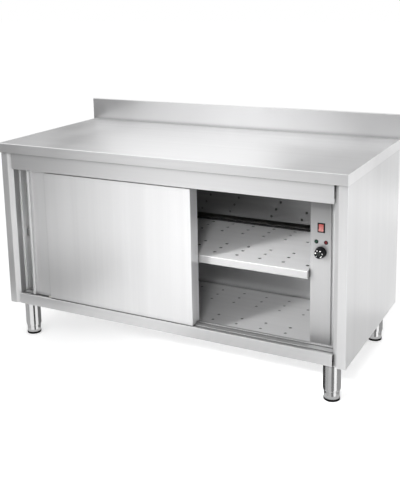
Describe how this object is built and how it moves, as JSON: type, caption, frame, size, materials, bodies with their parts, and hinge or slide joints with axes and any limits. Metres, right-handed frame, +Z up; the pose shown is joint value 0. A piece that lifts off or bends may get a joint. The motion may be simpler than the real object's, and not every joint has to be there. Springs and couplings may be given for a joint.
{
  "type": "plate warmer cabinet",
  "caption": "Stainless steel plate warmer cabinet with a worktop and upstand, sliding doors, a perforated shelf, a control column and levelling feet.",
  "frame": {"origin": "on the floor, under the middle of the worktop", "axes": "+X to the right along the front, +Y to the back, +Z up; the doors face -Y"},
  "size_m": [1.5, 0.7, 0.95],
  "materials": {
    "worktop_steel": "fine straight brushing along the length",
    "core_board": "plain chipboard",
    "body_steel": "fine straight brushing",
    "track_steel": "plain folded sheet",
    "room_steel": "smooth mill finish",
    "shelf_steel": "smooth mill finish",
    "control_steel": "fine upright brushing",
    "door_steel": "fine upright brushing",
    "leg_steel": "round tube, satin",
    "hanger_steel": "zinc plated",
    "mineral_wool": "pressed mineral wool board",
    "nylon": "natural white",
    "black_plastic": "satin moulded",
    "red_rocker": "translucent red, lit from inside",
    "green_lens": "faceted lens",
    "red_lens": "faceted lens",
    "fan_metal": "die cast, black lacquer",
    "heater_steel": "heat-tinted tube",
    "terminal_plastic": "moulded ceramic-filled plastic",
    "black_rubber": "moulded ring"
  },
  "bodies": {
    "cabinet": {"base_pan": "body_steel", "bottom_deck": "room_steel", "bottom_rail": "body_steel", "bottom_track": "track_steel", "cable_gland": "black_plastic", "ceiling_panel": "room_steel", "compartment_divider": "room_steel", "compartment_wall": "room_steel", "control_fascia": "control_steel", "fan_frame": "fan_metal", "green_lamp": "green_lens", "heating_element": "heater_steel", "insulation": "mineral_wool", "left_liner": "room_steel", "left_side_panel": "body_steel", "leg_plates": "leg_steel", "legs": "leg_steel", "lower_back_wall": "room_steel", "rear_panel": "body_steel", "rear_panel_rivets": "body_steel", "red_lamp": "red_lens", "right_jamb": "control_steel", "right_side_panel": "body_steel", "shelf_supports": "shelf_steel", "switch_bezel": "black_plastic", "terminal_block": "terminal_plastic", "thermostat": "black_plastic", "top_rail": "body_steel", "top_track": "track_steel", "upper_duct_panel": "room_steel", "worktop": "worktop_steel", "worktop_board": "core_board"},
    "fan_impeller": {"fan_impeller": "black_plastic"},
    "front_left_foot": {"front_left_foot": "leg_steel", "front_left_glide": "black_rubber"},
    "front_right_foot": {"front_right_foot": "leg_steel", "front_right_glide": "black_rubber"},
    "left_door": {"left_door_back": "door_steel", "left_door_core": "mineral_wool", "left_door_guides": "nylon", "left_door_hangers": "hanger_steel", "left_door_skin": "door_steel"},
    "left_door_roller_a": {"left_door_roller_a": "nylon"},
    "left_door_roller_b": {"left_door_roller_b": "nylon"},
    "rear_left_foot": {"rear_left_foot": "leg_steel", "rear_left_glide": "black_rubber"},
    "rear_right_foot": {"rear_right_foot": "leg_steel", "rear_right_glide": "black_rubber"},
    "right_door": {"right_door_back": "door_steel", "right_door_core": "mineral_wool", "right_door_guides": "nylon", "right_door_hangers": "hanger_steel", "right_door_skin": "door_steel"},
    "right_door_roller_a": {"right_door_roller_a": "nylon"},
    "right_door_roller_b": {"right_door_roller_b": "nylon"},
    "shelf": {"shelf": "shelf_steel"},
    "switch_rocker": {"switch_rocker": "red_rocker"},
    "thermostat_knob": {"thermostat_knob": "black_plastic", "thermostat_shaft": "hanger_steel"}
  },
  "joints": [
    {"name": "left_door_slide", "type": "slide", "parent": "cabinet", "child": "left_door", "axis": [1, 0, 0], "range_m": [-0.0669, 0.556]},
    {"name": "right_door_slide", "type": "slide", "parent": "cabinet", "child": "right_door", "axis": [1, 0, 0], "range_m": [-0.0622, 0.5606]},
    {"name": "left_door_roller_a_spin", "type": "hinge", "parent": "left_door", "child": "left_door_roller_a", "pos_m": [-0.50667, -0.3235, 0.7745], "axis": [0, 1, 0], "range_deg": [-260, 2150]},
    {"name": "left_door_roller_b_spin", "type": "hinge", "parent": "left_door", "child": "left_door_roller_b", "pos_m": [0.01761, -0.3235, 0.7745], "axis": [0, 1, 0], "range_deg": [-260, 2150]},
    {"name": "right_door_roller_a_spin", "type": "hinge", "parent": "right_door", "child": "right_door_roller_a", "pos_m": [-0.51134, -0.2895, 0.7745], "axis": [0, 1, 0], "range_deg": [-260, 2150]},
    {"name": "right_door_roller_b_spin", "type": "hinge", "parent": "right_door", "child": "right_door_roller_b", "pos_m": [0.01294, -0.2895, 0.7745], "axis": [0, 1, 0], "range_deg": [-260, 2150]},
    {"name": "thermostat_turn", "type": "hinge", "parent": "cabinet", "child": "thermostat_knob", "pos_m": [0.6178, -0.236, 0.53], "axis": [0, 1, 0], "range_deg": [0, 270]},
    {"name": "switch_rock", "type": "hinge", "parent": "cabinet", "child": "switch_rocker", "pos_m": [0.6178, -0.233, 0.62], "axis": [1, 0, 0], "range_deg": [0, 16]},
    {"name": "fan_spin", "type": "hinge", "parent": "cabinet", "child": "fan_impeller", "pos_m": [0.595, 0.05905, 0.295], "axis": [1, 0, 0], "continuous": true},
    {"name": "shelf_lift", "type": "slide", "parent": "cabinet", "child": "shelf", "axis": [0, 0, 1], "range_m": [0, 0.04]},
    {"name": "front_left_foot_level", "type": "slide", "parent": "cabinet", "child": "front_left_foot", "axis": [0, 0, 1], "range_m": [0, 0.028]},
    {"name": "front_right_foot_level", "type": "slide", "parent": "cabinet", "child": "front_right_foot", "axis": [0, 0, 1], "range_m": [0, 0.028]},
    {"name": "rear_left_foot_level", "type": "slide", "parent": "cabinet", "child": "rear_left_foot", "axis": [0, 0, 1], "range_m": [0, 0.028]},
    {"name": "rear_right_foot_level", "type": "slide", "parent": "cabinet", "child": "rear_right_foot", "axis": [0, 0, 1], "range_m": [0, 0.028]}
  ],
  "couplings": [
    {"joint": "left_door_roller_a_spin", "follows": "left_door_slide", "rad_per_m": 66.667},
    {"joint": "left_door_roller_b_spin", "follows": "left_door_slide", "rad_per_m": 66.667},
    {"joint": "right_door_roller_a_spin", "follows": "right_door_slide", "rad_per_m": 66.667},
    {"joint": "right_door_roller_b_spin", "follows": "right_door_slide", "rad_per_m": 66.667}
  ]
}
